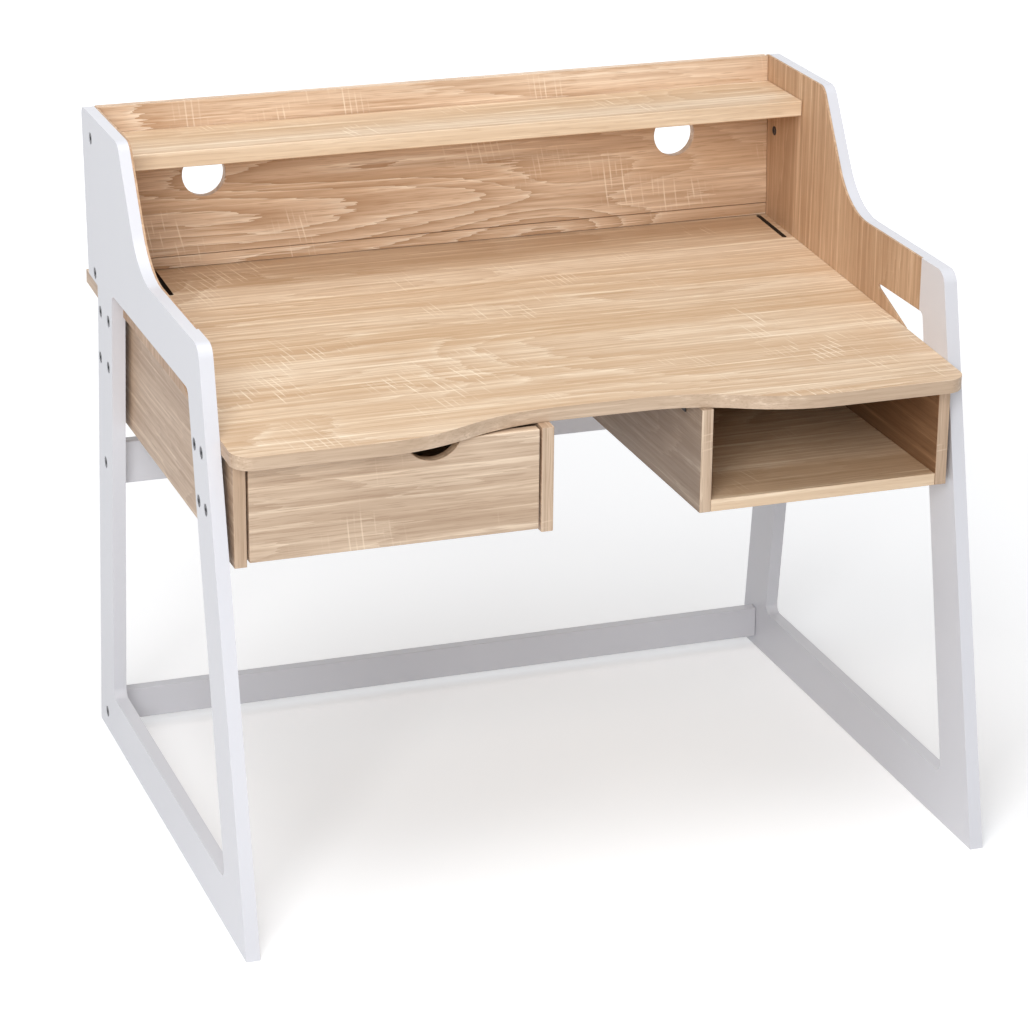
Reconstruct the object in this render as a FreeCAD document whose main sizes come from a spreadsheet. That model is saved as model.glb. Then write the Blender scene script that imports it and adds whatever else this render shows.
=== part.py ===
import FreeCAD, Part
import math
import os

from FreeCAD import Vector

# Student desk with hutch: two cut side frames carry a gently sloping desktop, a hutch shelf and back,
# a drawer cabinet on the left and an open box on the right.
# +X is to the user's right, +Y away from the user, +Z up. The origin is on the floor, mid footprint.

DIMS = {
    # side frames; a run is measured from the front toe or the rear heel, a drop down from the arm
    "overall_width": 1000, "frame_depth": 769, "frame_height": 891, "frame_board": 18,
    "liner_board": 3, "rail_height": 67, "leg_front_run": 167, "arm_height": 742,
    "arm_tip_radius": 20, "hutch_front_run": 211, "hutch_corner_radius": 22, "sweep_foot_run": 306,
    "sweep_radius": 110, "hutch_rear_run": 19.5, "hutch_lean": 3, "leg_rear_run": 70,
    "window_drop": 71, "window_front_low": 97, "window_front_high": 222, "window_rear_low": 83,
    "window_rear_high": 153.5, "window_radius": 12, "liner_front_run": 232,
    "liner_slope_top": 370.5, "liner_slope_foot": 280.5, "liner_drop": 103,
    "liner_corner_radius": 3,
    # desktop
    "desk_drop": 99, "desk_tilt": 3, "desk_board": 18, "desk_front_run": 79,
    "desk_recess": 51, "recess_half": 60, "lobe_start": 300, "desk_rear_run": 2.5,
    "desk_corner_radius": 26, "slot_inset_left": 67.5, "slot_inset_right": 12.5, "slot_width": 7,
    "slot_length": 98, "slot_rear_run": 33,
    # hutch
    "back_board": 15, "back_drop": 1, "batten_height": 16, "batten_board": 12, "batten_setback": 2,
    "cable_hole_radius": 30, "cable_hole_spread": 340, "shelf_board": 22, "shelf_front_run": 145,
    "shelf_drop": 36,
    # cross members
    "stretcher_run": 50, "stretcher_low": 15, "stretcher_height": 45, "cross_board": 18,
    "rail_run": 93, "rear_rail_drop": 358, "rear_rail_height": 60,
    # cabinets
    "cabinet_board": 16, "cabinet_gap": 7.5, "cabinet_front_run": 114, "cabinet_rear_run": 67,
    "cabinet_drop": 269, "cabinet_width": 409.5, "box_width": 343.5, "cabinet_back_board": 12,
    # drawer
    "drawer_reveal": 3, "drawer_front_board": 16, "drawer_low_drop": 264, "drawer_top_drop": 133,
    "notch_offset": 48, "notch_radius": 38, "notch_rise": 13, "drawer_side_board": 12,
    "drawer_side_drop": 253, "drawer_side_height": 105, "drawer_length": 400, "drawer_floor": 4,
    "drawer_floor_lift": 8, "groove_depth": 5,
    "runner_gap": 12.7, "runner_height": 36, "runner_length": 390, "runner_sheet": 1.2,
    "runner_drop": 235, "runner_lip": 5, "runner_setback": 2,
    # fasteners and small parts
    "bolt_head_radius": 7, "bolt_head_height": 3.6, "bolt_socket": 3, "bolt_socket_depth": 2.4,
    "bolt_seat": 3.9, "bolt_seat_gap": 1.1, "hutch_bolt_run": 57, "hutch_bolt_drop": 33,
    "hutch_bolt_rise": 13, "foot_bolt_rise": 12,
    "glide_radius": 8, "glide_height": 3, "glide_inset": 28,
    "bracket_leg": 22, "bracket_width": 18, "bracket_sheet": 2, "bracket_inset": 60,
    "clearance": 0.3,
}

# bolts into the cabinet sides, as (drop, run from the toe) and (drop, run from the heel)
FRONT_GROUP = ((134, 197), (134, 164), (202, 181), (202, 148))
REAR_GROUP = ((115, 82), (115, 127), (182, 73), (182, 118))

# how far up the cable holes sit between the back's foot and the shelf
HOLE_SHARE = 0.71

doc = FreeCAD.newDocument("student_desk")
sheet = doc.addObject("Spreadsheet::Sheet", "dims")
for row, (name, value) in enumerate(DIMS.items(), start=1):
    sheet.set("A%d" % row, name)
    sheet.set("B%d" % row, str(value))
    sheet.setAlias("B%d" % row, name)
doc.recompute()


def size(name):
    """The value of one named cell."""
    return float(sheet.get(name))


def bind(thing, prop, formula):
    """Tie a property to the sheet; words in the formula are cell names."""
    words = []
    for word in formula.split():
        words.append("dims." + word if word in DIMS else word)
    thing.setExpression(prop, " ".join(words))


HALF = size("overall_width") / 2
INNER = HALF - size("frame_board")
CLEAR = size("clearance")
TILT = math.radians(size("desk_tilt"))
LEAN = math.radians(size("hutch_lean"))


def from_toe(name):
    """The y of a run measured back from the front toe."""
    return -size("frame_depth") / 2 + size(name)


def from_heel(name):
    """The y of a run measured forward from the rear heel."""
    return size("frame_depth") / 2 - size(name)


def below_arm(name):
    """The height of a drop measured down from the arm."""
    return size("arm_height") - size(name)


def desk_top(y):
    """Height of the desktop's upper face above a place y."""
    return below_arm("desk_drop") + math.tan(TILT) * y


def desk_under(y):
    """Height of the desktop's lower face above a place y."""
    return desk_top(y) - size("desk_board") / math.cos(TILT)


def along(low, high, height):
    """The y at some height on the straight line between two (y, z) points."""
    share = (height - low[1]) / (high[1] - low[1])
    return low[0] + share * (high[0] - low[0])


def rounded(corners):
    """Closed outline from (u, v, radius) corners, as lines and tangent arcs."""
    count = len(corners)
    starts, ends, arcs = [], [], []
    for i in range(count):
        here = Vector(corners[i][0], corners[i][1], 0)
        before = Vector(corners[i - 1][0], corners[i - 1][1], 0)
        after = Vector(corners[(i + 1) % count][0], corners[(i + 1) % count][1], 0)
        radius = corners[i][2] if len(corners[i]) > 2 else 0
        if radius == 0:
            starts.append(here)
            ends.append(here)
            continue
        back = (before - here).normalize()
        ahead = (after - here).normalize()
        half_angle = back.getAngle(ahead) / 2
        reach = radius / math.tan(half_angle)
        centre = here + (back + ahead).normalize() * (radius / math.sin(half_angle))
        first = here + back * reach
        last = here + ahead * reach
        middle = centre + (here - centre).normalize() * radius
        arcs.append(Part.Arc(first, middle, last))
        starts.append(first)
        ends.append(last)
    edges = list(arcs)
    for i in range(count):
        edges.append(Part.LineSegment(ends[i], starts[(i + 1) % count]))
    return edges


def plane_of(body, role):
    """One of a body's own origin planes."""
    for feature in body.Origin.OriginFeatures:
        if feature.Role == role:
            return feature


def new_body(name):
    return doc.addObject("PartDesign::Body", name + "_body")


def new_sketch(body, role, loops):
    """A sketch on an origin plane holding closed loops of edges."""
    sketch = body.newObject("Sketcher::SketchObject", body.Name + "_sketch")
    sketch.AttachmentSupport = (plane_of(body, role), [""])
    sketch.MapMode = "FlatFace"
    for loop in loops:
        sketch.addGeometry(loop, False)
    return sketch


def pad(body, role, loops, formula, backwards=False):
    feature = body.newObject("PartDesign::Pad", body.Name + "_pad")
    feature.Profile = new_sketch(body, role, loops)
    bind(feature, "Length", formula)
    feature.Reversed = backwards
    body.Tip = feature
    doc.recompute()
    return feature


def board(name, low, spans):
    """A flat board: its low corner and its three lengths are formulas."""
    box = doc.addObject("Part::Box", name + "_board")
    for prop, formula in zip(("Length", "Width", "Height"), spans):
        bind(box, prop, formula)
    for letter, formula in zip("xyz", low):
        bind(box, "Placement.Base." + letter, formula)
    return box


def cylinder(name, radius, length, place, axis):
    """A round bar from a place along an axis; radius and length are formulas."""
    bar = doc.addObject("Part::Cylinder", name)
    bind(bar, "Radius", radius)
    bind(bar, "Height", length)
    turn = FreeCAD.Rotation(Vector(0, 0, 1), axis)
    bar.Placement = FreeCAD.Placement(place, turn)
    return bar


def cut(base, tools):
    """Base less its tools."""
    result = base
    for tool in tools:
        step = doc.addObject("Part::Cut", base.Name + "_cut")
        step.Base = result
        step.Tool = tool
        result = step
    return result


def group(name, members):
    compound = doc.addObject("Part::Compound", name + "_group")
    compound.Links = members
    return compound


nodes = {}


def node(name, thing):
    """Give a finished sub-part its own label, which names its file."""
    thing.Label = name
    nodes[name] = thing


# ---------------------------------------------------------------- outlines of the side frames
TOE = (-size("frame_depth") / 2, 0)
HEEL = (size("frame_depth") / 2, 0)
ARM_TIP = (TOE[0] + size("leg_front_run"), size("arm_height"))
LEG_REAR = from_heel("leg_rear_run")
NOTCH_LOW = (LEG_REAR, desk_under(LEG_REAR) - CLEAR)
NOTCH_HIGH = (LEG_REAR, desk_top(LEG_REAR) + CLEAR)
HUTCH_REAR = from_heel("hutch_rear_run")
HUTCH_FOOT = (HUTCH_REAR, desk_top(HUTCH_REAR) + CLEAR)
LINER_FRONT = from_toe("liner_front_run")
WINDOW = (
    (from_toe("window_front_low"), size("rail_height")),
    (from_heel("window_rear_low"), size("rail_height")),
    (from_heel("window_rear_high"), below_arm("window_drop")),
    (from_toe("window_front_high"), below_arm("window_drop")),
)


def hutch_rear_at(height):
    """The y of the hutch's rear edge, which leans back as it rises."""
    return HUTCH_REAR + math.tan(LEAN) * (height - HUTCH_FOOT[1])


def back_face_at(height):
    """The y of the back board's front face; its rear is flush with the frame."""
    return hutch_rear_at(height) - size("back_board") / math.cos(LEAN)


def hutch_edge():
    """The rear and upper edge of the hutch side, down to the swept arm."""
    return [
        NOTCH_LOW,
        NOTCH_HIGH,
        HUTCH_FOOT,
        (hutch_rear_at(size("frame_height")), size("frame_height"), size("window_radius")),
        (from_heel("hutch_front_run"), size("frame_height"), size("hutch_corner_radius")),
        (from_heel("sweep_foot_run"), size("arm_height"), size("sweep_radius")),
    ]


def frame_outline():
    tip = (ARM_TIP[0], ARM_TIP[1], size("arm_tip_radius"))
    return rounded([TOE, HEEL] + hutch_edge() + [tip])


def window_outline():
    return rounded([corner + (size("window_radius"),) for corner in WINDOW])


def leg_outline():
    """The full thickness part: both legs, the foot rail and the arm's tip."""
    top = below_arm("liner_drop") - CLEAR
    edge = LINER_FRONT - CLEAR
    radius = size("window_radius")
    reach = min(radius, (edge - WINDOW[3][0]) * 0.9)
    return rounded([
        TOE,
        HEEL,
        (along(HEEL, NOTCH_LOW, top), top),
        (along(WINDOW[1], WINDOW[2], top), top),
        WINDOW[1] + (radius,),
        WINDOW[0] + (radius,),
        WINDOW[3] + (reach,),
        (edge, below_arm("window_drop")),
        (edge, size("arm_height")),
        (ARM_TIP[0], ARM_TIP[1], size("arm_tip_radius")),
    ])


def liner_outline():
    low = below_arm("liner_drop")
    return rounded([
        (LINER_FRONT, below_arm("window_drop")),
        (from_toe("liner_slope_top"), below_arm("window_drop"), size("liner_corner_radius")),
        (from_toe("liner_slope_foot"), low),
        (along(HEEL, NOTCH_LOW, low), low),
    ] + hutch_edge() + [(LINER_FRONT, size("arm_height"))])


# ---------------------------------------------------------------- bolts and their holes
def bolt_places():
    """(y, z) of every bolt head on a side frame."""
    toe = -size("frame_depth") / 2
    heel = size("frame_depth") / 2
    arm = size("arm_height")
    places = [(toe + run, arm - drop) for drop, run in FRONT_GROUP]
    places += [(heel - run, arm - drop) for drop, run in REAR_GROUP]
    hutch = from_heel("hutch_bolt_run")
    places.append((hutch, size("frame_height") - size("hutch_bolt_drop")))
    places.append((hutch, desk_top(hutch) + size("hutch_bolt_rise")))
    places.append((from_heel("stretcher_run") + size("cross_board") / 2,
                   size("stretcher_low") + size("foot_bolt_rise")))
    places.append((from_heel("rail_run") + size("cross_board") / 2,
                   below_arm("rear_rail_drop") + size("rear_rail_height") / 2))
    return places


def bolt_heads(side, sign):
    """Round heads with a hex socket, let in just below the frame's outer face."""
    inward = Vector(-sign, 0, 0)
    turn = FreeCAD.Rotation(Vector(0, 0, 1), inward)
    heads = []
    for count, (y, z) in enumerate(bolt_places(), start=1):
        label = "%s_bolt%d" % (side, count)
        face = Vector(sign * (HALF - size("bolt_seat") + size("bolt_head_height")), y, z)
        head = cylinder(label, "bolt_head_radius", "bolt_head_height", face, inward)
        socket = doc.addObject("Part::Prism", label + "_socket")
        socket.Polygon = 6
        bind(socket, "Circumradius", "bolt_socket")
        bind(socket, "Height", "bolt_socket_depth")
        socket.Placement = FreeCAD.Placement(face, turn)
        heads.append(cut(head, [socket]))
    return group(side + "_bolts", heads)


def bolt_seats(side, sign):
    """The flat-bottomed holes that the heads sit in."""
    inward = Vector(-sign, 0, 0)
    seats = []
    for count, (y, z) in enumerate(bolt_places(), start=1):
        seats.append(cylinder("%s_seat%d" % (side, count), "bolt_head_radius + bolt_seat_gap", "bolt_seat",
                              Vector(sign * HALF, y, z), inward))
    return group(side + "_seats", seats)


SEATS = {}


# ---------------------------------------------------------------- side frames and liners
def side_frame(side, sign):
    body = new_body("side_frame_" + side)
    inward = sign > 0
    pad(body, "YZ_Plane", [frame_outline(), window_outline()], "frame_board - liner_board", inward)
    pad(body, "YZ_Plane", [leg_outline()], "frame_board", inward)
    bind(body, "Placement.Base.x", "%d * overall_width / 2" % sign)
    doc.recompute()
    node("side_frame_" + side, cut(body, [bolt_seats(side, sign), SEATS["glides"]]))


def hutch_liner(side, sign):
    body = new_body("hutch_liner_" + side)
    pad(body, "YZ_Plane", [liner_outline()], "liner_board", sign < 0)
    bind(body, "Placement.Base.x", "%d * ( overall_width / 2 - frame_board )" % sign)
    doc.recompute()
    node("hutch_liner_" + side, body)


def glides():
    """Round glides let into the foot rails, proud of them at the floor."""
    members, seats = [], []
    for sign in (-1, 1):
        for end in (-1, 1):
            x = sign * (HALF - size("frame_board") / 2)
            y = end * (size("frame_depth") / 2 - size("glide_inset"))
            label = "glide_%s_%s" % ("left" if sign < 0 else "right", "rear" if end > 0 else "front")
            place = Vector(x, y, 0)
            members.append(cylinder(label, "glide_radius - clearance", "glide_height", place,
                                    Vector(0, 0, 1)))
            seats.append(cylinder(label + "_seat", "glide_radius", "glide_height", place,
                                  Vector(0, 0, 1)))
    SEATS["glides"] = group("glide_seats", seats)
    node("foot_glides", group("foot_glides", members))


# ---------------------------------------------------------------- desktop
def wave(sign):
    """One side of the front edge: recess to lobe through two equal tangent arcs."""
    run = size("lobe_start") - size("recess_half")
    rise = size("desk_recess")
    radius = (run * run + rise * rise) / (4 * rise)
    half_turn = math.atan2(rise, run)
    lobe = from_toe("desk_front_run")
    recess = lobe + rise
    middle = Vector(sign * (size("recess_half") + run / 2), lobe + rise / 2, 0)
    reach = radius * math.sin(half_turn)
    sag = radius * (1 - math.cos(half_turn))
    inner_end = Vector(sign * size("recess_half"), recess, 0)
    outer_end = Vector(sign * size("lobe_start"), lobe, 0)
    inner = Part.Arc(inner_end, Vector(inner_end.x + sign * reach, recess - sag, 0), middle)
    outer = Part.Arc(middle, Vector(outer_end.x - sign * reach, lobe + sag, 0), outer_end)
    return [inner, outer]


def desk_side(sign):
    """One side of the plan outline, from the lobe round to the rear ear."""
    half = INNER - CLEAR
    lobe = from_toe("desk_front_run")
    radius = size("desk_corner_radius")
    ear = (LEG_REAR + 2 * CLEAR) / math.cos(TILT)
    tip = HALF - CLEAR
    lobe_end = Vector(sign * size("lobe_start"), lobe, 0)
    corner_in = Vector(sign * (half - radius), lobe, 0)
    diagonal = radius * (1 - math.sqrt(0.5))
    corner_mid = Vector(sign * (half - diagonal), lobe + diagonal, 0)
    corner_out = Vector(sign * half, lobe + radius, 0)
    ear_in = Vector(sign * half, ear, 0)
    ear_out = Vector(sign * tip, ear, 0)
    rear = Vector(sign * tip, from_heel("desk_rear_run"), 0)
    return [
        Part.LineSegment(lobe_end, corner_in),
        Part.Arc(corner_in, corner_mid, corner_out),
        Part.LineSegment(corner_out, ear_in),
        Part.LineSegment(ear_in, ear_out),
        Part.LineSegment(ear_out, rear),
    ]


def slot_outline(sign):
    """A narrow cable slot beside the liner, open through the board."""
    middle = sign * (INNER - size("slot_inset_left" if sign < 0 else "slot_inset_right"))
    half = size("slot_width") / 2
    rear = from_heel("slot_rear_run")
    front = rear - size("slot_length")
    end = half * 0.98
    return rounded([(middle - half, front, end), (middle + half, front, end),
                    (middle + half, rear, end), (middle - half, rear, end)])


def desktop():
    half = size("recess_half")
    recess = from_toe("desk_front_run") + size("desk_recess")
    tip = HALF - CLEAR
    outline = [Part.LineSegment(Vector(-half, recess, 0), Vector(half, recess, 0))]
    for sign in (-1, 1):
        outline += wave(sign) + desk_side(sign)
    rear = from_heel("desk_rear_run")
    outline.append(Part.LineSegment(Vector(-tip, rear, 0), Vector(tip, rear, 0)))
    body = new_body("desktop")
    pad(body, "XY_Plane", [outline, slot_outline(-1), slot_outline(1)], "desk_board", True)
    bind(body, "Placement.Base.z", "arm_height - desk_drop")
    body.Placement.Rotation = FreeCAD.Rotation(Vector(1, 0, 0), size("desk_tilt"))
    doc.recompute()
    node("desktop", body)


# ---------------------------------------------------------------- hutch
BATTEN_TOP = HUTCH_FOOT[1] + size("batten_height")
BACK_FOOT = BATTEN_TOP + CLEAR + size("back_board") * math.sin(LEAN)
SHELF_TOP = size("frame_height") - size("shelf_drop")
SHELF_LOW = SHELF_TOP - size("shelf_board")


def hutch_back():
    """The leaning back, with two round cable holes high up."""
    half = INNER - CLEAR
    tall = (size("frame_height") - size("back_drop") - BACK_FOOT) / math.cos(LEAN)
    hole = (SHELF_LOW - BACK_FOOT) * HOLE_SHARE
    loops = [rounded([(-half, 0), (half, 0), (half, tall), (-half, tall)])]
    for sign in (-1, 1):
        centre = Vector(sign * size("cable_hole_spread"), hole, 0)
        loops.append([Part.Circle(centre, Vector(0, 0, 1), size("cable_hole_radius"))])
    body = new_body("hutch_back")
    pad(body, "XZ_Plane", loops, "back_board", True)
    turn = FreeCAD.Rotation(Vector(1, 0, 0), -size("hutch_lean"))
    body.Placement = FreeCAD.Placement(Vector(0, back_face_at(BACK_FOOT), BACK_FOOT), turn)
    doc.recompute()
    node("hutch_back", body)


def box_solid(name, low, high):
    """A plain board between two corners."""
    box = doc.addObject("Part::Box", name + "_board")
    box.Length = high[0] - low[0]
    box.Width = high[1] - low[1]
    box.Height = high[2] - low[2]
    box.Placement.Base = Vector(*low)
    return box


def hutch_batten():
    """The strip that closes the foot of the back, set back a little under it."""
    half = INNER - CLEAR
    front = back_face_at(HUTCH_FOOT[1]) + size("batten_setback")
    batten = box_solid("hutch_batten", (-half, front, HUTCH_FOOT[1]),
                       (half, front + size("batten_board"), BATTEN_TOP))
    node("hutch_batten", batten)


def hutch_shelf():
    half = INNER - CLEAR
    shelf = box_solid("hutch_shelf", (-half, from_heel("shelf_front_run"), SHELF_LOW),
                      (half, back_face_at(SHELF_LOW) - CLEAR, SHELF_TOP))
    node("hutch_shelf", shelf)


SPAN = "overall_width - 2 * frame_board - 2 * clearance"
LEFT_END = "- overall_width / 2 + frame_board + clearance"


def cross_members():
    stretcher = board("rear_stretcher", (LEFT_END, "frame_depth / 2 - stretcher_run", "stretcher_low"),
                      (SPAN, "cross_board", "stretcher_height"))
    node("rear_stretcher", stretcher)
    rail = board("rear_rail", (LEFT_END, "frame_depth / 2 - rail_run", "arm_height - rear_rail_drop"),
                 (SPAN, "cross_board", "rear_rail_height"))
    node("rear_rail", rail)


# ---------------------------------------------------------------- cabinets under the desktop
CABINET_FRONT = from_toe("cabinet_front_run")
CABINET_REAR = from_heel("cabinet_rear_run")
CABINET_LEFT = -INNER + size("cabinet_gap")
CABINET_RIGHT = CABINET_LEFT + size("cabinet_width")
BOX_RIGHT = INNER - size("cabinet_gap")
BOX_LEFT = BOX_RIGHT - size("box_width")


def slope_outline(front, rear):
    """From the cabinet's low edge up to the sloping desktop."""
    return rounded([
        (front, below_arm("cabinet_drop")),
        (rear, below_arm("cabinet_drop")),
        (rear, desk_under(rear) - CLEAR),
        (front, desk_under(front) - CLEAR),
    ])


def cabinet_side(name, x):
    """A side board whose top edge follows the sloping desktop."""
    outline = slope_outline(CABINET_FRONT, CABINET_REAR)
    body = new_body(name)
    pad(body, "YZ_Plane", [outline], "cabinet_board")
    body.Placement.Base = Vector(x, 0, 0)
    doc.recompute()
    node(name, body)


def cabinet_back(name, left, right):
    """A back board between two side boards, cut to the slope at its top."""
    thick = size("cabinet_board")
    outline = slope_outline(CABINET_REAR - size("cabinet_back_board"), CABINET_REAR)
    body = new_body(name)
    feature = pad(body, "YZ_Plane", [outline], "cabinet_back_board")
    feature.setExpression("Length", None)
    feature.Length = right - left - 2 * thick
    body.Placement.Base = Vector(left + thick, 0, 0)
    doc.recompute()
    node(name, body)


def cabinets():
    thick = size("cabinet_board")
    cabinet_side("cabinet_side_outer", CABINET_LEFT)
    cabinet_side("cabinet_side_inner", CABINET_RIGHT - thick)
    cabinet_back("cabinet_back", CABINET_LEFT, CABINET_RIGHT)
    cabinet_side("box_side_outer", BOX_RIGHT - thick)
    cabinet_side("box_side_inner", BOX_LEFT)
    cabinet_back("box_back", BOX_LEFT, BOX_RIGHT)
    left_face = "overall_width / 2 - frame_board - cabinet_gap - box_width + cabinet_board"
    deep = "frame_depth - cabinet_rear_run - cabinet_front_run - cabinet_back_board"
    floor_board = board("box_floor", (left_face, "- frame_depth / 2 + cabinet_front_run",
                                       "arm_height - cabinet_drop"),
                        ("box_width - 2 * cabinet_board", deep, "cabinet_board"))
    node("box_floor", floor_board)


def brackets():
    """Steel angles that hold the cabinet sides up against the desktop."""
    leg = size("bracket_leg")
    sheet_thick = size("bracket_sheet")
    thick = size("cabinet_board")
    members = []
    for x, way in ((CABINET_RIGHT, 1), (BOX_LEFT, -1), (BOX_LEFT + thick, 1)):
        for end in (-1, 1):
            front = CABINET_FRONT + size("bracket_inset")
            rear = CABINET_REAR - size("bracket_inset")
            y = front if end < 0 else rear
            low_edge = y - size("bracket_width") / 2
            top = desk_under(low_edge) - CLEAR
            corners = [(0, 0), (0, -leg), (way * sheet_thick, -leg), (way * sheet_thick, -sheet_thick),
                       (way * leg, -sheet_thick), (way * leg, 0)]
            points = [Vector(x + u, low_edge, top + v) for u, v in corners]
            wire = Part.makePolygon(points + points[:1])
            angle = Part.Face(wire).extrude(Vector(0, size("bracket_width"), 0))
            angle.rotate(Vector(x, low_edge, top), Vector(1, 0, 0), size("desk_tilt"))
            bracket = doc.addObject("Part::Feature", "bracket")
            bracket.Shape = angle
            members.append(bracket)
    node("cabinet_brackets", group("cabinet_brackets", members))


# ---------------------------------------------------------------- drawer
DRAWER_LEFT = CABINET_LEFT + size("cabinet_board") + size("runner_gap")
DRAWER_RIGHT = CABINET_RIGHT - size("cabinet_board") - size("runner_gap")
BOX_FRONT = CABINET_FRONT + size("drawer_front_board")


def drawer_front():
    """The front panel, with a round finger notch in its top edge."""
    left = CABINET_LEFT + size("cabinet_board") + size("drawer_reveal")
    right = CABINET_RIGHT - size("cabinet_board") - size("drawer_reveal")
    low = below_arm("drawer_low_drop")
    top = below_arm("drawer_top_drop")
    radius = size("notch_radius")
    middle = (left + right) / 2 + size("notch_offset")
    half = math.sqrt(radius ** 2 - size("notch_rise") ** 2)
    notch_left = Vector(middle - half, top, 0)
    notch_right = Vector(middle + half, top, 0)
    notch_low = Vector(middle, top + size("notch_rise") - radius, 0)
    outline = [
        Part.LineSegment(Vector(left, low, 0), Vector(right, low, 0)),
        Part.LineSegment(Vector(right, low, 0), Vector(right, top, 0)),
        Part.LineSegment(Vector(right, top, 0), notch_right),
        Part.Arc(notch_right, notch_low, notch_left),
        Part.LineSegment(notch_left, Vector(left, top, 0)),
        Part.LineSegment(Vector(left, top, 0), Vector(left, low, 0)),
    ]
    body = new_body("drawer_front")
    pad(body, "XZ_Plane", [outline], "drawer_front_board", True)
    bind(body, "Placement.Base.y", "- frame_depth / 2 + cabinet_front_run")
    doc.recompute()
    node("drawer_front", cut(body, [groove_tool()]))


def groove_tool():
    """The space of the drawer floor with its clearance, cut from what holds it."""
    reach = size("groove_depth")
    inner_left = DRAWER_LEFT + size("drawer_side_board")
    inner_right = DRAWER_RIGHT - size("drawer_side_board")
    low = below_arm("drawer_side_drop") + size("drawer_floor_lift")
    return box_solid("groove", (inner_left - reach, BOX_FRONT - reach, low - 0.1),
                     (inner_right + reach, BOX_FRONT + size("drawer_length") + 1,
                      low + size("drawer_floor") + 0.1))


def drawer_box():
    thick = size("drawer_side_board")
    low = below_arm("drawer_side_drop")
    top = low + size("drawer_side_height")
    rear = BOX_FRONT + size("drawer_length")
    left_side = box_solid("drawer_side_left", (DRAWER_LEFT, BOX_FRONT, low),
                          (DRAWER_LEFT + thick, rear, top))
    node("drawer_side_left", cut(left_side, [groove_tool()]))
    right_side = box_solid("drawer_side_right", (DRAWER_RIGHT - thick, BOX_FRONT, low),
                           (DRAWER_RIGHT, rear, top))
    node("drawer_side_right", cut(right_side, [groove_tool()]))
    floor_low = low + size("drawer_floor_lift")
    floor_top = floor_low + size("drawer_floor")
    reach = size("groove_depth") - CLEAR
    floor = box_solid("drawer_floor", (DRAWER_LEFT + thick - reach, BOX_FRONT - reach, floor_low),
                      (DRAWER_RIGHT - thick + reach, rear, floor_top))
    node("drawer_floor", floor)
    back = box_solid("drawer_back", (DRAWER_LEFT + thick, rear - thick, floor_top + 0.1),
                     (DRAWER_RIGHT - thick, rear, top))
    node("drawer_back", back)


def runner_profile(depth, lip_gap):
    """A channel's section, open towards +u: web at u = 0, two lips turned in."""
    sheet_thick = size("runner_sheet")
    half = size("runner_height") / 2 - lip_gap
    lip = size("runner_lip")
    return [(0, -half), (depth, -half), (depth, -half + lip), (depth - sheet_thick, -half + lip),
            (depth - sheet_thick, -half + sheet_thick), (sheet_thick, -half + sheet_thick),
            (sheet_thick, half - sheet_thick), (depth - sheet_thick, half - sheet_thick),
            (depth - sheet_thick, half - lip), (depth, half - lip), (depth, half), (0, half)]


def channel(name, x, way, depth, lip_gap, front, length):
    """A channel along y with its web at x, opening towards way."""
    middle = below_arm("runner_drop") + size("runner_height") / 2
    corners = [(x + way * u, middle + v) for u, v in runner_profile(depth, lip_gap)]
    body = new_body(name)
    feature = pad(body, "XZ_Plane", [rounded(corners)], "runner_length", True)
    feature.setExpression("Length", None)
    feature.Length = length
    body.Placement.Base = Vector(0, front, 0)
    doc.recompute()
    node(name, body)


def runners():
    """Each runner: an outer channel on the cabinet, an inner one on the drawer inside its lips."""
    front = BOX_FRONT + size("runner_setback")
    length = size("runner_length")
    outer_depth = size("runner_gap") - 2 * size("runner_sheet")
    nest = size("runner_sheet") + CLEAR
    inner_depth = size("runner_gap") - nest
    face_left = CABINET_LEFT + size("cabinet_board")
    face_right = CABINET_RIGHT - size("cabinet_board")
    channel("runner_cabinet_left", face_left, 1, outer_depth, 0, front, length)
    channel("runner_cabinet_right", face_right, -1, outer_depth, 0, front, length)
    for name, x, way in (("runner_drawer_left", DRAWER_LEFT, -1),
                         ("runner_drawer_right", DRAWER_RIGHT, 1)):
        half_web = size("runner_height") / 2 - size("runner_lip") - CLEAR
        middle = below_arm("runner_drop") + size("runner_height") / 2
        tail = half_web + size("runner_lip") - nest
        sheet_thick = size("runner_sheet")
        inside = half_web - sheet_thick
        toe = inner_depth - sheet_thick
        section = [(0, -half_web), (toe, -half_web), (toe, -tail), (inner_depth, -tail),
                   (inner_depth, -inside), (sheet_thick, -inside), (sheet_thick, inside),
                   (inner_depth, inside), (inner_depth, tail), (toe, tail), (toe, half_web),
                   (0, half_web)]
        corners = [(x + way * u, middle + v) for u, v in section]
        body = new_body(name)
        feature = pad(body, "XZ_Plane", [rounded(corners)], "runner_length", True)
        feature.setExpression("Length", None)
        feature.Length = length
        body.Placement.Base = Vector(0, front, 0)
        doc.recompute()
        node(name, body)


# ---------------------------------------------------------------- build, check and write
glides()
for side_name, side_sign in (("left", -1), ("right", 1)):
    side_frame(side_name, side_sign)
    hutch_liner(side_name, side_sign)
    node("frame_bolts_" + side_name, bolt_heads(side_name, side_sign))
desktop()
hutch_back()
hutch_batten()
hutch_shelf()
cross_members()
cabinets()
brackets()
drawer_front()
drawer_box()
runners()
doc.recompute()

for thing in doc.Objects:
    if "Invalid" in thing.State or "Error" in thing.State:
        raise RuntimeError(thing.Label + " failed: " + str(thing.State))
for name, thing in nodes.items():
    if thing.Shape.isNull() or not thing.Shape.isValid() or not thing.Shape.Solids:
        raise RuntimeError(name + " has no valid solid")

os.makedirs("parts", exist_ok=True)
for name, thing in nodes.items():
    thing.Shape.exportStep("parts/" + name + ".step")
    print(name, len(thing.Shape.Solids), round(thing.Shape.Volume))
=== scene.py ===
import math

import bmesh
import bpy
import numpy as np
from mathutils import Matrix, Vector


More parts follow.
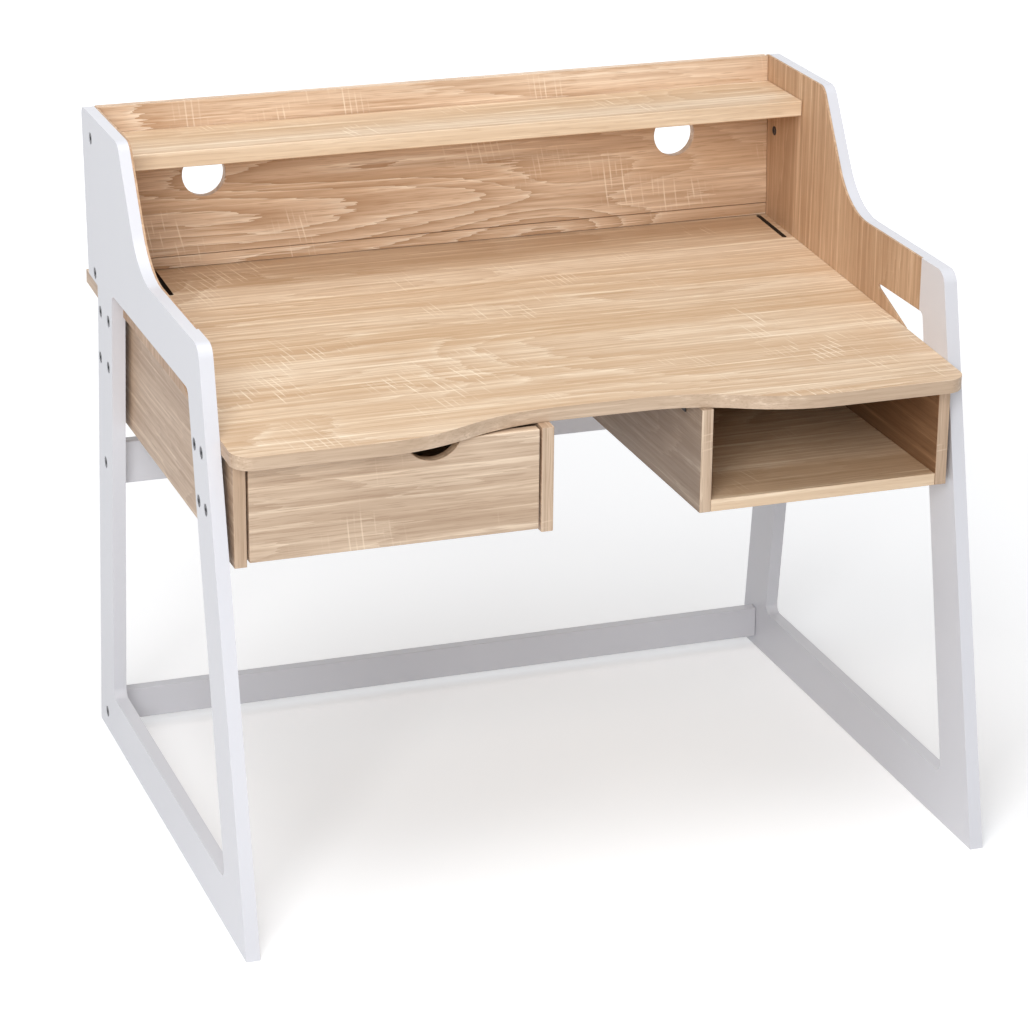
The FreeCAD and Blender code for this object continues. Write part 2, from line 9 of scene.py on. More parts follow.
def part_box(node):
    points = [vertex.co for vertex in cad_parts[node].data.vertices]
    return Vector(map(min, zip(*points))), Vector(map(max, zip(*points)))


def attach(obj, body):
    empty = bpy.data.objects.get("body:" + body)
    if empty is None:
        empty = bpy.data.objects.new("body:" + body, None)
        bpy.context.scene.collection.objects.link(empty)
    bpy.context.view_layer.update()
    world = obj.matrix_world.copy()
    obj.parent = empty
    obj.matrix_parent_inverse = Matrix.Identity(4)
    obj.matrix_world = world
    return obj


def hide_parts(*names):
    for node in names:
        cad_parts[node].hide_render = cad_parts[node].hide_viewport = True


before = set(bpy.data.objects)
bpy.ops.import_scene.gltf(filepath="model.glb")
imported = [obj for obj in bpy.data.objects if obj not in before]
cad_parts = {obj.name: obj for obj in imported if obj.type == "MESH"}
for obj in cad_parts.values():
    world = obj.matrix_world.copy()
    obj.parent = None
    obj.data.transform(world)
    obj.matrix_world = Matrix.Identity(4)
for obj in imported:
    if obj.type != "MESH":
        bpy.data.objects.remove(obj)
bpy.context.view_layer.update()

print("desk loaded:", len(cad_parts), "pieces")


# small helpers for shader trees

def addNode(tree, kind, at=(0, 0), **settings):
    node = tree.nodes.new(kind)
    node.location = at
    for key, value in settings.items():
        setattr(node, key, value)
    return node


def setInput(tree, socket, value):
    # a plain value is set, anything else is another node's output
    if isinstance(value, (int, float, tuple)):
        socket.default_value = value
    else:
        tree.links.new(value, socket)


def mathNode(tree, operation, first, second, at=(0, 0)):
    node = addNode(tree, "ShaderNodeMath", at, operation=operation)
    setInput(tree, node.inputs[0], first)
    setInput(tree, node.inputs[1], second)
    return node.outputs[0]


def rangeNode(tree, value, low, high, toLow=0.0, toHigh=1.0, at=(0, 0)):
    node = addNode(tree, "ShaderNodeMapRange", at)
    tree.links.new(value, node.inputs["Value"])
    limits = {"From Min": low, "From Max": high, "To Min": toLow, "To Max": toHigh}
    for name, limit in limits.items():
        setInput(tree, node.inputs[name], limit)
    return node.outputs["Result"]


def mixColour(tree, factor, first, second, at=(0, 0)):
    node = addNode(tree, "ShaderNodeMix", at, data_type="RGBA", blend_type="MIX")
    # its colour sockets are the 7th and 8th input and the 3rd output
    for slot, value in ((0, factor), (6, first), (7, second)):
        setInput(tree, node.inputs[slot], value)
    return node.outputs[2]


def stretched(tree, vector, amounts, at=(0, 0)):
    node = addNode(tree, "ShaderNodeVectorMath", at, operation="MULTIPLY")
    tree.links.new(vector, node.inputs[0])
    node.inputs[1].default_value = amounts
    return node.outputs[0]


def noiseNode(tree, vector, at=(0, 0), **amounts):
    node = addNode(tree, "ShaderNodeTexNoise", at)
    tree.links.new(vector, node.inputs["Vector"])
    for name, value in amounts.items():
        node.inputs[name.capitalize()].default_value = value
    return node.outputs["Fac"]


# what every pattern group gives
patternOutputs = (("Colour", "NodeSocketColor"), ("Roughness", "NodeSocketFloat"),
                  ("Height", "NodeSocketFloat"))


def newGroup(name, inputs):
    tree = bpy.data.node_groups.new(name, "ShaderNodeTree")
    for label, kind, value in inputs:
        socket = tree.interface.new_socket(label, in_out="INPUT", socket_type=kind)
        if value is not None:
            socket.default_value = value
    for label, kind in patternOutputs:
        tree.interface.new_socket(label, in_out="OUTPUT", socket_type=kind)
    source = addNode(tree, "NodeGroupInput", (-1400, 0))
    sink = addNode(tree, "NodeGroupOutput", (1200, 0))
    return tree, source.outputs, sink.inputs


# oak decor: rings, streaks, pores and saw marks, with the grain along x

grainLook = {
    # each pattern's stretch along x, y and z, its detail, roughness and warp
    "patterns": {
        "figure": ((1.3, 7.0, 7.0), 1.0, 0.35, 0.55),
        "ripple": ((3.0, 60.0, 60.0), 2.0, 0.5, 0.0),
        "fibre": ((11.0, 330.0, 330.0), 1.0, 0.5, 0.0),
        "tone": ((0.45, 13.0, 13.0), 3.0, 0.55, 0.2),
        "strength": ((1.1, 5.0, 5.0), 1.0, 0.5, 0.0),
        "streak": ((2.4, 150.0, 150.0), 4.0, 0.66, 0.05),
        "pore": ((26.0, 620.0, 620.0), 1.0, 0.4, 0.0),
        "sawWander": ((7.0, 4.0, 4.0), 1.0, 0.5, 0.0),
        "sawBreak": ((70.0, 16.0, 16.0), 1.0, 0.5, 0.0),
        "sawPatch": ((7.0, 9.0, 9.0), 1.0, 0.5, 0.0),
    },
    # from where to where a pattern counts; four numbers also say what it gives at both ends
    "cuts": {
        "tone": (0.4, 0.6),
        "strength": (0.42, 0.58, 0.3, 1.0),
        "streak": (0.34, 0.68),
        "pore": (0.33, 0.43),
        "sawBreak": (0.46, 0.62),
        "sawPatch": (0.56, 0.68),
        "sawStroke": (0.66, 0.98),
        "ringEdge": (0.2, 0.0),
        "bright": (0.7, 1.0),
        "roughness": (0.0, 1.0, 0.52, 0.42),
    },
    "ringCount": 14.0,
    "ringWaver": 0.5,
    "ringPower": 1.8,
    "sawTurns": (112.0, 19.0, 19.0),
    "sawWaver": 4.0,
    # how far each layer covers what lies under it
    "cover": {"ringDark": 0.8, "ringPale": 0.9, "thin": 0.6, "bright": 0.55, "hole": 0.4,
              "sawMark": 0.75},
    "relief": {"pore": 0.6, "streak": 0.4},
}


def makeGrain():
    tree, given, sink = newGroup(
        "oakGrain",
        (("Place", "NodeSocketVector", None),
         ("Pale", "NodeSocketColor", (0.9, 0.75, 0.56, 1)),
         ("Light", "NodeSocketColor", (0.8, 0.6, 0.42, 1)),
         ("Middle", "NodeSocketColor", (0.66, 0.46, 0.3, 1)),
         ("Dark", "NodeSocketColor", (0.42, 0.26, 0.15, 1)),
         ("Figure", "NodeSocketFloat", 0.5),
         ("Flecks", "NodeSocketFloat", 0.5)))
    link = tree.links.new
    look, cuts, relief = grainLook, grainLook["cuts"], grainLook["relief"]

    def pattern(name, row):
        stretch, detail, roughness, warp = look["patterns"][name]
        spread = stretched(tree, given["Place"], stretch, (-1300, row))
        return noiseNode(tree, spread, (-1100, row), scale=1.0, detail=detail, roughness=roughness,
                         distortion=warp)

    def mask(name, row):
        return rangeNode(tree, pattern(name, row), *cuts[name], at=(-900, row))

    def times(first, second, at):
        return mathNode(tree, "MULTIPLY", first, second, at)

    def plus(first, second, at):
        return mathNode(tree, "ADD", first, second, at)

    def without(value, at):
        return mathNode(tree, "SUBTRACT", 1.0, value, at)

    # rings: a slowly warped field cut into saw teeth, pale on the sharp side and brown behind it
    rings = plus(times(pattern("figure", 300), look["ringCount"], (-940, 300)),
                 times(pattern("ripple", 160), look["ringWaver"], (-940, 160)), (-780, 300))
    rings = plus(rings, times(pattern("fibre", 700), look["ringWaver"], (-940, 700)), (-700, 420))
    tooth = mathNode(tree, "FRACT", rings, 0.0, (-620, 300))
    # they are strong in some places and nearly gone in others
    figure = times(given["Figure"], mask("strength", 900), (-700, 900))
    ringDark = mathNode(tree, "POWER", tooth, look["ringPower"], (-460, 340))
    ringDark = times(ringDark, figure, (-300, 340))
    ringPale = times(rangeNode(tree, tooth, *cuts["ringEdge"], at=(-460, 200)), figure, (-300, 200))
    # streaks and pores
    streak = mask("streak", 0)
    pore = mask("pore", -260)
    bright = rangeNode(tree, streak, *cuts["bright"], at=(-300, -120))
    # saw marks: thin pale strokes across the grain, about 9 mm apart, in small loose patches
    turns = addNode(tree, "ShaderNodeVectorMath", (-1300, -520), operation="DOT_PRODUCT")
    link(given["Place"], turns.inputs[0])
    turns.inputs[1].default_value = look["sawTurns"]
    wander = times(pattern("sawWander", -640), look["sawWaver"], (-940, -640))
    turn = plus(turns.outputs["Value"], wander, (-780, -560))
    wave = mathNode(tree, "SINE", times(turn, 2 * math.pi, (-620, -560)), 0.0, (-460, -560))
    sawMark = rangeNode(tree, wave, *cuts["sawStroke"], at=(-300, -560))
    sawMark = times(sawMark, mask("sawBreak", -780), (-140, -560))
    sawMark = times(sawMark, mask("sawPatch", -920), (0, -560))
    sawMark = times(sawMark, given["Flecks"], (140, -560))

    # colour: the broad tone first, then each layer over what lies under it
    colour = mixColour(tree, mask("tone", 520), given["Middle"], given["Light"], (-200, 420))
    layers = (("ringDark", ringDark, "Dark"), ("ringPale", ringPale, "Pale"),
              ("thin", without(streak, (-300, 0)), "Dark"), ("bright", bright, "Pale"),
              ("hole", without(pore, (-300, -260)), "Dark"), ("sawMark", sawMark, "Pale"))
    for step, (name, layer, shade) in enumerate(layers):
        covered = times(layer, look["cover"][name], (160 * step, 220))
        colour = mixColour(tree, covered, colour, given[shade], (160 * step + 80, 420))
    link(colour, sink["Colour"])
    link(rangeNode(tree, streak, *cuts["roughness"], at=(900, 0)), sink["Roughness"])
    height = plus(times(pore, relief["pore"], (580, -140)),
                  times(streak, relief["streak"], (580, -220)), (740, -180))
    link(height, sink["Height"])
    return tree


# faint mottling that paint, metal and plastic share

mottleLook = {"cloud": {"scale": 5.0, "detail": 3.0}, "cloudCut": (0.3, 0.7), "peelDetail": 2.0}


def makeMottle():
    tree, given, sink = newGroup(
        "fineMottle",
        (("Place", "NodeSocketVector", None),
         ("Base", "NodeSocketColor", (0.8, 0.8, 0.8, 1)),
         ("Shade", "NodeSocketColor", (0.7, 0.7, 0.7, 1)),
         ("Amount", "NodeSocketFloat", 0.3),
         ("Scale", "NodeSocketFloat", 60.0),
         ("Smooth", "NodeSocketFloat", 0.3),
         ("Matt", "NodeSocketFloat", 0.42)))
    link = tree.links.new
    cloud = noiseNode(tree, given["Place"], (-900, 200), **mottleLook["cloud"])
    soft = rangeNode(tree, cloud, *mottleLook["cloudCut"], at=(-700, 200))
    share = mathNode(tree, "MULTIPLY", soft, given["Amount"], (-500, 200))
    link(mixColour(tree, share, given["Base"], given["Shade"], (-300, 200)), sink["Colour"])
    peel = noiseNode(tree, given["Place"], (-900, -100), detail=mottleLook["peelDetail"])
    link(given["Scale"], peel.node.inputs["Scale"])
    rough = rangeNode(tree, peel, 0.0, 1.0, given["Smooth"], given["Matt"], (-500, -100))
    link(rough, sink["Roughness"])
    link(peel, sink["Height"])
    return tree


oakGrain = makeGrain()
fineMottle = makeMottle()


def finishMaterial(name, group, values, place, relief, plain):
    material = bpy.data.materials.new(name)
    material.use_nodes = True
    tree = material.node_tree
    shader = tree.nodes["Principled BSDF"]
    where = addNode(tree, "ShaderNodeTexCoord", (-1100, 0))
    mapping = addNode(tree, "ShaderNodeMapping", (-900, 0))
    mapping.inputs["Location"].default_value = place["shift"]
    mapping.inputs["Rotation"].default_value = [math.radians(angle) for angle in place["turn"]]
    tree.links.new(where.outputs["Object"], mapping.inputs["Vector"])
    pattern = addNode(tree, "ShaderNodeGroup", (-600, 0))
    pattern.node_tree = group
    tree.links.new(mapping.outputs["Vector"], pattern.inputs["Place"])
    for label, value in values.items():
        pattern.inputs[label].default_value = value
    tree.links.new(pattern.outputs["Colour"], shader.inputs["Base Color"])
    tree.links.new(pattern.outputs["Roughness"], shader.inputs["Roughness"])
    bump = addNode(tree, "ShaderNodeBump", (-300, -250))
    bump.inputs["Strength"].default_value = relief["strength"]
    bump.inputs["Distance"].default_value = relief["distance"]
    tree.links.new(pattern.outputs["Height"], bump.inputs["Height"])
    tree.links.new(bump.outputs["Normal"], shader.inputs["Normal"])
    for label, value in plain.items():
        shader.inputs[label].default_value = value
    return material


# finishes

oakTones = {
    "top": {
        "Pale": (0.98, 0.855, 0.675), "Light": (0.9, 0.74, 0.555), "Middle": (0.73, 0.54, 0.36),
        "Dark": (0.47, 0.285, 0.15), "Figure": 0.62, "Flecks": 0.9},
    "back": {
        "Pale": (1.0, 0.86, 0.69), "Light": (0.94, 0.73, 0.54), "Middle": (0.82, 0.59, 0.4),
        "Dark": (0.44, 0.25, 0.13), "Figure": 1.0, "Flecks": 1.0},
    "side": {
        "Pale": (0.82, 0.6, 0.41), "Light": (0.69, 0.47, 0.3), "Middle": (0.55, 0.35, 0.21),
        "Dark": (0.34, 0.185, 0.095), "Figure": 0.3, "Flecks": 0.1},
    "front": {
        "Pale": (0.86, 0.7, 0.53), "Light": (0.75, 0.58, 0.425), "Middle": (0.61, 0.445, 0.31),
        "Dark": (0.36, 0.235, 0.15), "Figure": 0.42, "Flecks": 0.7},
    "band": {
        "Pale": (0.98, 0.82, 0.63), "Light": (0.94, 0.76, 0.565), "Middle": (0.87, 0.68, 0.48),
        "Dark": (0.62, 0.43, 0.27), "Figure": 0.0, "Flecks": 0.0},
    # rim: a darker copy of the band, painted shade on the desktop's front and rear edges
    "rim": {
        "Pale": (0.8, 0.64, 0.48), "Light": (0.72, 0.555, 0.41), "Middle": (0.62, 0.46, 0.325),
        "Dark": (0.42, 0.29, 0.19), "Figure": 0.0, "Flecks": 0.0},
    # shade: a dark copy of the oak, painted shade for the wall facing the knee space
    "shade": {
        "Pale": (0.5, 0.385, 0.28), "Light": (0.41, 0.305, 0.22), "Middle": (0.33, 0.235, 0.16),
        "Dark": (0.2, 0.13, 0.083), "Figure": 0.4, "Flecks": 0.2},
    "flank": {
        "Pale": (0.8, 0.63, 0.46), "Light": (0.69, 0.51, 0.36), "Middle": (0.55, 0.385, 0.26),
        "Dark": (0.34, 0.21, 0.13), "Figure": 0.4, "Flecks": 0.2},
    # inside: a darker, redder copy of the oak, painted shade inside the open box
    "inside": {
        "Pale": (0.5, 0.29, 0.16), "Light": (0.39, 0.215, 0.11), "Middle": (0.29, 0.15, 0.073),
        "Dark": (0.15, 0.07, 0.03), "Figure": 0.4, "Flecks": 0.2},
}

oakRelief = {"strength": 0.16, "distance": 0.0006}
oakCoat = {"Specular IOR Level": 0.42, "Coat Weight": 0.06, "Coat Roughness": 0.3}


def oak(name, tone, turn, shift):
    # the colours get their fourth number, 1, here
    values = {label: value + (1,) if isinstance(value, tuple) else value
              for label, value in oakTones[tone].items()}
    place = {"turn": turn, "shift": shift}
    return finishMaterial(name, oakGrain, values, place, oakRelief, oakCoat)


alongX = (0, 0, 0)
alongY = (0, 0, 90)
alongZ = (0, 90, 0)

# tone, run of the grain and place in the decor
oakFinishes = {
    "deskOak": ("top", alongX, (0.31, 0.07, 0.0)),
    "backOak": ("back", alongX, (0.84, 0.4, 0.23)),
    "shelfOak": ("top", alongX, (1.7, 0.9, 0.4)),
    "linerOak": ("side", alongZ, (0.2, 0.6, 1.1)),
    "cabinetOak": ("flank", alongY, (0.5, 1.3, 0.7)),
    "boxOak": ("front", alongX, (2.3, 0.5, 0.3)),
    "floorOak": ("top", alongX, (0.9, 2.5, 1.3)),
    "bandOak": ("band", alongX, (0.7, 1.5, 0.6)),
    "deskEdgePaintedShadeOak": ("rim", alongX, (0.1, 1.1, 0.9)),
    "uprightOak": ("front", alongZ, (0.2, 1.5, 0.6)),
    "kneeWallPaintedShadeOak": ("shade", alongY, (0.5, 0.3, 0.7)),
    "boxWallPaintedShadeOak": ("inside", alongY, (0.4, 0.9, 0.2)),
    "boxBackPaintedShadeOak": ("inside", alongX, (1.1, 0.2, 0.8)),
    "drawerOak": ("front", alongX, (3.4, 1.6, 0.12)),
}

plainFinishes = {
    "whitePaint": {
        "values": {"Base": (0.7, 0.7, 0.735, 1), "Shade": (0.66, 0.66, 0.7, 1), "Amount": 0.4,
                   "Scale": 420.0, "Smooth": 0.3, "Matt": 0.4},
        "strength": 0.06,
        "plain": {"Specular IOR Level": 0.5, "Coat Weight": 0.12, "Coat Roughness": 0.2}},
    # near black: the slot walls' raw core, with the shade inside the slot painted on
    "slotCorePaintedShade": {
        "values": {"Base": (0.07, 0.045, 0.03, 1), "Shade": (0.045, 0.03, 0.02, 1), "Amount": 0.7,
                   "Scale": 800.0, "Smooth": 0.8, "Matt": 0.95},
        "strength": 0.2,
        "plain": {"Specular IOR Level": 0.1}},
    "boltSteel": {
        "values": {"Base": (0.05, 0.053, 0.062, 1), "Shade": (0.03, 0.03, 0.036, 1), "Amount": 0.6,
                   "Scale": 900.0, "Smooth": 0.28, "Matt": 0.46},
        "strength": 0.1,
        "plain": {"Metallic": 0.6}},
    "zincSteel": {
        "values": {"Base": (0.62, 0.63, 0.66, 1), "Shade": (0.48, 0.49, 0.52, 1), "Amount": 0.7,
                   "Scale": 240.0, "Smooth": 0.26, "Matt": 0.44},
        "strength": 0.12,
        "plain": {"Metallic": 0.9}},
    "bracketSteel": {
        "values": {"Base": (0.06, 0.058, 0.06, 1), "Shade": (0.04, 0.038, 0.04, 1), "Amount": 0.6,
                   "Scale": 600.0, "Smooth": 0.4, "Matt": 0.55},
        "strength": 0.12,
        "plain": {"Metallic": 0.5}},
    "glidePlastic": {
        "values": {"Base": (0.5, 0.5, 0.51, 1), "Shade": (0.44, 0.44, 0.45, 1), "Amount": 0.5,
                   "Scale": 700.0, "Smooth": 0.45, "Matt": 0.6},
        "strength": 0.15,
        "plain": {"Specular IOR Level": 0.4}},
}

mottleDepth = 0.0004


def painted(name, values, strength, plain):
    place = {"turn": (0, 0, 0), "shift": (0, 0, 0)}
    relief = {"strength": strength, "distance": mottleDepth}
    return finishMaterial(name, fineMottle, values, place, relief, plain)


finishes = {name: oak(name, *choices) for name, choices in oakFinishes.items()}
finishes.update({name: painted(name, **look) for name, look in plainFinishes.items()})
print("finishes ready:", len(finishes))


# boards with eased edges, from the frame's own solids

deskBody = "desk"
drawerBody = "drawer"

# the finish of each board and how far its edges are eased
boards = {
    "side_frame_left": ("whitePaint", 0.0022),
    "side_frame_right": ("whitePaint", 0.0022),
    "rear_stretcher": ("whitePaint", 0.0018),
    "rear_rail": ("whitePaint", 0.0018),
    "hutch_liner_left": ("linerOak", 0.0004),
    "hutch_liner_right": ("linerOak", 0.0004),
    "desktop": ("deskOak", 0.0026),
    "hutch_back": ("backOak", 0.0009),
    "hutch_batten": ("backOak", 0.0005),
    "hutch_shelf": ("shelfOak", 0.0016),
    "cabinet_side_outer": ("cabinetOak", 0.0009),
    "cabinet_side_inner": ("cabinetOak", 0.0009),
    "cabinet_back": ("boxOak", 0.0006),
    "box_side_outer": ("cabinetOak", 0.0009),
    # the knee wall's oak is darkened as painted shade
    "box_side_inner": ("kneeWallPaintedShadeOak", 0.0009),
    # the box's back takes the oak of painted shade
    "box_back": ("boxBackPaintedShadeOak", 0.0006),
    "box_floor": ("floorOak", 0.0009),
    "drawer_front": ("drawerOak", 0.0011),
    "drawer_side_left": ("cabinetOak", 0.0008),
    "drawer_side_right": ("cabinetOak", 0.0008),
    "drawer_back": ("boxOak", 0.0008),
    "drawer_floor": ("boxOak", 0.0003),
    "runner_cabinet_left": ("zincSteel", 0.0002),
    "runner_cabinet_right": ("zincSteel", 0.0002),
    "runner_drawer_left": ("zincSteel", 0.0002),
    "runner_drawer_right": ("zincSteel", 0.0002),
    "cabinet_brackets": ("bracketSteel", 0.0003),
}

drawerNodes = ("drawer_front", "drawer_side_left", "drawer_side_right", "drawer_back",
               "drawer_floor", "runner_drawer_left", "runner_drawer_right")

# further finishes of a board, which faceFinish counts from 1
extraFinishes = {
    "desktop": ("deskEdgePaintedShadeOak", "slotCorePaintedShade", "cabinetOak"),
    "hutch_shelf": ("bandOak",),
    "box_floor": ("bandOak",),
    "box_side_outer": ("uprightOak", "boxWallPaintedShadeOak"),
    "box_side_inner": ("uprightOak",),
    "cabinet_side_outer": ("uprightOak",),
    "cabinet_side_inner": ("uprightOak",),
}

# a span of |x| and y that holds both cable slots of the desktop
slotZone = {"x": (0.4, 0.476), "y": (0.245, 0.36)}
facing = {"level": 0.5, "square": 0.9}  # how far a normal must point to count


def inSlot(centre):
    (left, right), (front, rear) = slotZone["x"], slotZone["y"]
    return left < abs(centre.x) < right and front < centre.y < rear


def faceFinish(nodeName, polygon):
    normal = polygon.normal
    if nodeName == "desktop":
        if abs(normal.z) > facing["level"]:
            return 0  # the board's own finish
        if inSlot(polygon.center):
            return 2  # raw core, painted near black as the shade inside the slot
        # front and rear edges take the darker rim oak and side edges the cabinet sides' oak, both
        # as painted shade
        return 3 if abs(normal.x) > facing["square"] else 1
    # the wall inside the open box takes the oak of painted shade
    if nodeName == "box_side_outer" and normal.x < -facing["square"]:
        return 2  # the wall inside the open box
    return int(normal.y < -facing["square"])  # front edge band


# takes the liner's low front tip under the desktop's face; nearZ and nearY find the tip's points
linerTip = {"ahead": 0.0112, "down": 0.004, "nearZ": 0.0005, "nearY": 0.001}


def lowerLinerTip(work):
    # the tip's points slide on along the slanting edge
    low = min(point.co.z for point in work.verts) + linerTip["nearZ"]
    front = min(point.co.y for point in work.verts if point.co.z < low) + linerTip["nearY"]
    for point in work.verts:
        if point.co.z < low and point.co.y < front:
            point.co += Vector((0.0, -linerTip["ahead"], -linerTip["down"]))


# distances in metres, angles in degrees
easing = {"merge": 0.00001, "flat": 1.0, "sharp": 40.0, "segments": 3, "weight": 80}


def easedMesh(nodeName):
    # a merged copy of the solid with its flat faces joined
    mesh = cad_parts[nodeName].data.copy()
    mesh.name = nodeName + "Eased"
    work = bmesh.new()
    work.from_mesh(mesh)
    bmesh.ops.remove_doubles(work, verts=work.verts, dist=easing["merge"])
    if nodeName.startswith("hutch_liner"):
        lowerLinerTip(work)
    bmesh.ops.dissolve_limit(work, angle_limit=math.radians(easing["flat"]),
                             verts=work.verts, edges=work.edges)
    bmesh.ops.recalc_face_normals(work, faces=work.faces)
    work.to_mesh(mesh)
    work.free()
    return mesh


def easedBoard(nodeName, finish, width):
    mesh = easedMesh(nodeName)
    mesh.materials.clear()
    for name in (finish,) + extraFinishes.get(nodeName, ()):
        mesh.materials.append(finishes[name])
    for polygon in mesh.polygons:
        polygon.use_smooth = True
        if nodeName in extraFinishes:
            polygon.material_index = faceFinish(nodeName, polygon)
    piece = bpy.data.objects.new(nodeName + "_eased", mesh)
    bpy.context.scene.collection.objects.link(piece)
    bevel = piece.modifiers.new("eased", "BEVEL")
    bevel.width = width
    bevel.segments = easing["segments"]
    bevel.limit_method = "ANGLE"
    bevel.angle_limit = math.radians(easing["sharp"])
    bevel.use_clamp_overlap = True
    smooth = piece.modifiers.new("shading", "WEIGHTED_NORMAL")
    smooth.keep_sharp = True
    smooth.weight = easing["weight"]
    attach(piece, drawerBody if nodeName in drawerNodes else deskBody)
    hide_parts(nodeName)


for nodeName, (finish, width) in boards.items():
    easedBoard(nodeName, finish, width)
print("boards eased:", len(boards))


# bolts and glides keep their own solids and get a finish

dressed = {"frame_bolts_left": "boltSteel", "frame_bolts_right": "boltSteel",
           "foot_glides": "glidePlastic"}

for nodeName, finish in dressed.items():
    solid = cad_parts[nodeName].data
    solid.materials.clear()
    solid.materials.append(finishes[finish])
print("fasteners dressed:", len(dressed))


# the round fittings under the shelf

camFit = {
    "radius": 0.0066,
    "proud": 0.0008,
    "below": 0.044,  # under the shelf's underside
    "fromRear": 0.027,  # in front of the shelf's rear edge
    "sides": 32,
    # shares of radius and proud height, from inside the liner over the rim into the socket
    "profile": ((1.0, -0.25), (1.0, 0.6), (0.9, 1.0), (0.35, 1.0), (0.3, 0.4)),
}


def camPiece(name, place, axis):
    # the profile carried round the axis: point = place + ring * radius + axis * height
    sides = camFit["sides"]
    shares = np.array(camFit["profile"])
    radius = shares[:, None, :1] * camFit["radius"]
    height = shares[:, None, 1:] * camFit["proud"]
    across = np.array((0.0, 0.0, 1.0))
    beside = np.cross(axis, across)
    angle = np.linspace(0, 2 * math.pi, sides, endpoint=False)[:, None]
    ring = np.cos(angle) * across + np.sin(angle) * beside
    points = (np.array(place) + ring * radius + np.array(axis, float) * height).reshape(-1, 3)
    last = (len(shares) - 1) * sides
    start, turn = np.meshgrid(np.arange(0, last, sides), np.arange(sides), indexing="ij")
    after = (turn + 1) % sides
    quads = np.stack((start + turn, start + after, start + sides + after, start + sides + turn), -1)
    ends = [list(range(sides))[::-1], list(range(last, last + sides))]
    mesh = bpy.data.meshes.new(name)
    mesh.from_pydata(points.tolist(), [], quads.reshape(-1, 4).tolist() + ends)
    work = bmesh.new()
    work.from_mesh(mesh)
    bmesh.ops.recalc_face_normals(work, faces=work.faces)
    work.to_mesh(mesh)
    work.free()
    mesh.materials.append(finishes["boltSteel"])
    for polygon in mesh.polygons:
        polygon.use_smooth = len(polygon.vertices) == 4
    piece = bpy.data.objects.new(name, mesh)
    bpy.context.scene.collection.objects.link(piece)
    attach(piece, deskBody)


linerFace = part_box("hutch_liner_right")[0][0]  # inner face of the right liner
shelfLow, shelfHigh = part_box("hutch_shelf")
camY = shelfHigh[1] - camFit["fromRear"]
camZ = shelfLow[2] - camFit["below"]
camPiece("cam_right", (linerFace, camY, camZ), (-1, 0, 0))
camPiece("cam_left", (-linerFace, camY, camZ), (1, 0, 0))
print("fittings done")


# floor, light and camera

studio = {
    "floorSize": 30.0,
    "floorColour": (0.86, 0.86, 0.86, 1),
    "floorRoughness": 0.9,
    "floorGlow": (0.3, 0.75),
    "glowReach": (0.9, 3.6),
    "worldColour": (0.94, 0.96, 1.0, 1),
    "worldStrength": 0.42,
}

lamps = {
    "topLamp": {"at": (-0.6, -0.4, 4.2), "aim": (0.0, 0.0, 0.6), "wide": 2.6, "power": 78.0},
    "frontLamp": {"at": (-1.9, -3.3, 2.5), "aim": (0.05, 0.2, 0.75), "wide": 1.8, "power": 93.0},
}

white = (1, 1, 1, 1)


def rayMask(tree, kinds, at):
    # 1 for rays of these kinds, else 0
    path = addNode(tree, "ShaderNodeLightPath", at)
    seen = path.outputs[kinds[0]]
    for kind in kinds[1:]:
        seen = mathNode(tree, "MAXIMUM", seen, path.outputs[kind], (at[0] + 180, at[1]))
    return seen


def makeFloor():
    half = studio["floorSize"] / 2
    u, v = np.meshgrid((-half, half), (-half, half))
    points = np.stack((u.ravel(), v.ravel(), np.zeros(4)), -1)
    mesh = bpy.data.meshes.new("floor")
    mesh.from_pydata(points.tolist(), [], [(0, 1, 3, 2)])
    floor = bpy.data.objects.new("floor", mesh)
    bpy.context.scene.collection.objects.link(floor)
    material = bpy.data.materials.new("floorFinish")
    material.use_nodes = True
    tree = material.node_tree
    shader = tree.nodes["Principled BSDF"]
    shader.inputs["Base Color"].default_value = studio["floorColour"]
    shader.inputs["Roughness"].default_value = studio["floorRoughness"]
    shader.inputs["Specular IOR Level"].default_value = 0.0
    shader.inputs["Emission Color"].default_value = white
    # the glow is low round the desk, where its shadow lies, and rises outwards
    where = addNode(tree, "ShaderNodeTexCoord", (-900, -400))
    away = addNode(tree, "ShaderNodeVectorMath", (-700, -400), operation="LENGTH")
    tree.links.new(where.outputs["Object"], away.inputs[0])
    glow = rangeNode(tree, away.outputs["Value"], *studio["glowReach"], *studio["floorGlow"],
                     at=(-500, -400))
    seen = rayMask(tree, ("Is Camera Ray", "Is Glossy Ray"), (-600, -200))
    glow = mathNode(tree, "MULTIPLY", seen, glow, (-200, -200))
    tree.links.new(glow, shader.inputs["Emission Strength"])
    mesh.materials.append(material)


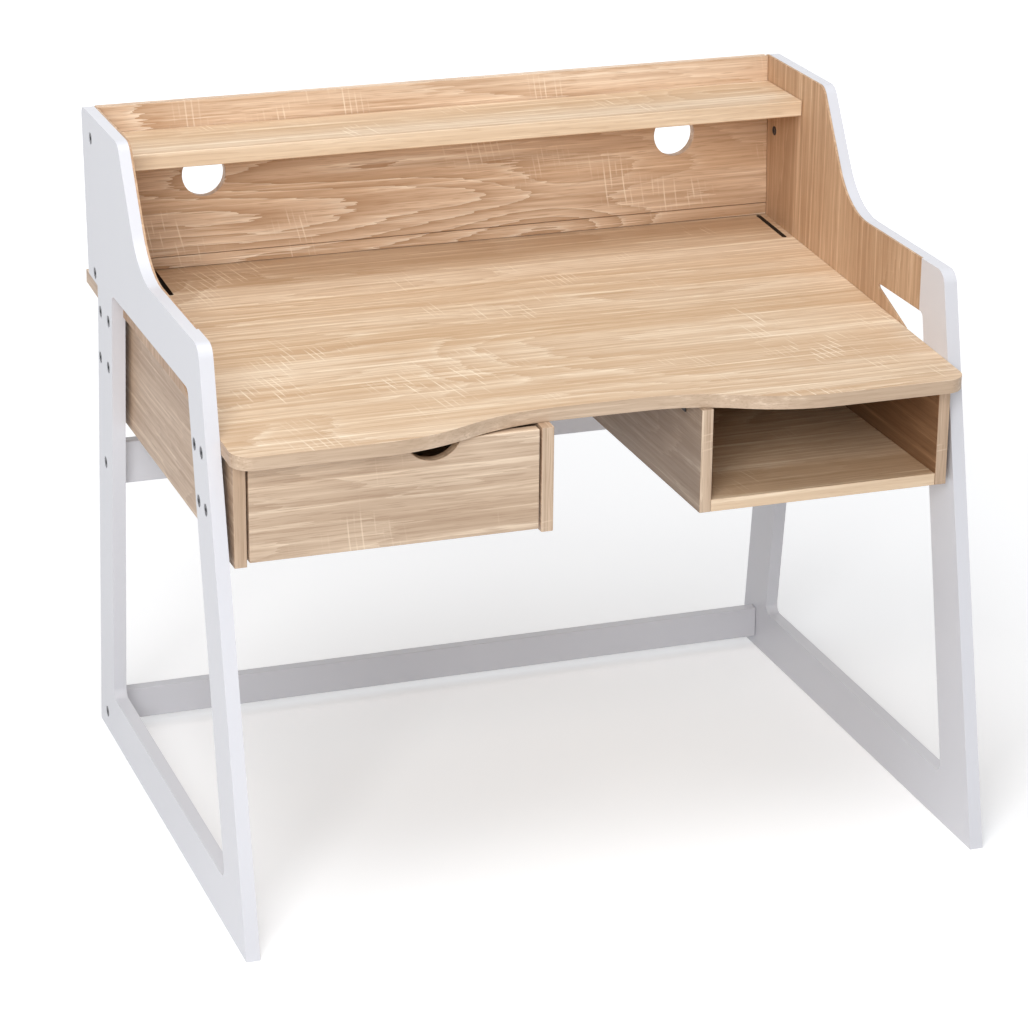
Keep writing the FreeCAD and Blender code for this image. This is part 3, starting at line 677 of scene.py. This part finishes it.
def makeWorld():
    # a white background that lights the desk less than it shows
    world = bpy.data.worlds.new("studioWorld")
    bpy.context.scene.world = world
    world.use_nodes = True
    tree = world.node_tree
    back = tree.nodes["Background"]
    seen = rayMask(tree, ("Is Camera Ray", "Is Glossy Ray", "Is Transmission Ray"), (-800, 200))
    colour = mixColour(tree, seen, studio["worldColour"], white, (-260, 200))
    strength = rangeNode(tree, seen, 0.0, 1.0, studio["worldStrength"], 1.0, (-260, 0))
    tree.links.new(colour, back.inputs["Color"])
    tree.links.new(strength, back.inputs["Strength"])


def makeLamp(name, at, aim, wide, power):
    light = bpy.data.lights.new(name, "AREA")
    light.shape = "SQUARE"
    light.size = wide
    light.energy = power
    lamp = bpy.data.objects.new(name, light)
    lamp.location = at
    lamp.rotation_euler = (Vector(aim) - Vector(at)).to_track_quat("-Z", "Y").to_euler()
    bpy.context.scene.collection.objects.link(lamp)


# place in metres, angles in degrees, lens and sensor in millimetres
viewpoint = {
    "place": (-1.4944, -4.1321, 2.0759),
    "azimuth": -19.632,
    "elevation": 21.005,
    "roll": 0.546,
    "lens": 124.4,
    "sensor": 36.0,
    "reach": 60.0,
}


def makeCamera():
    azimuth = math.radians(viewpoint["azimuth"])
    elevation = math.radians(viewpoint["elevation"])
    roll = math.radians(viewpoint["roll"])
    look = Vector((-math.sin(azimuth) * math.cos(elevation),
                   math.cos(azimuth) * math.cos(elevation),
                   -math.sin(elevation)))
    level = look.cross(Vector((0, 0, 1))).normalized()
    upright = level.cross(look)
    right = level * math.cos(roll) + upright * math.sin(roll)
    up = upright * math.cos(roll) - level * math.sin(roll)
    data = bpy.data.cameras.new("camera")
    data.sensor_width = viewpoint["sensor"]
    data.lens = viewpoint["lens"]
    data.clip_end = viewpoint["reach"]
    camera = bpy.data.objects.new("camera", data)
    turn = Matrix((right, up, -look)).transposed().to_4x4()
    camera.matrix_world = Matrix.Translation(viewpoint["place"]) @ turn
    bpy.context.scene.collection.objects.link(camera)
    bpy.context.scene.camera = camera


makeFloor()
makeWorld()
for name, settings in lamps.items():
    makeLamp(name, **settings)
makeCamera()
bpy.context.scene.view_settings.view_transform = "Standard"
print("studio ready")
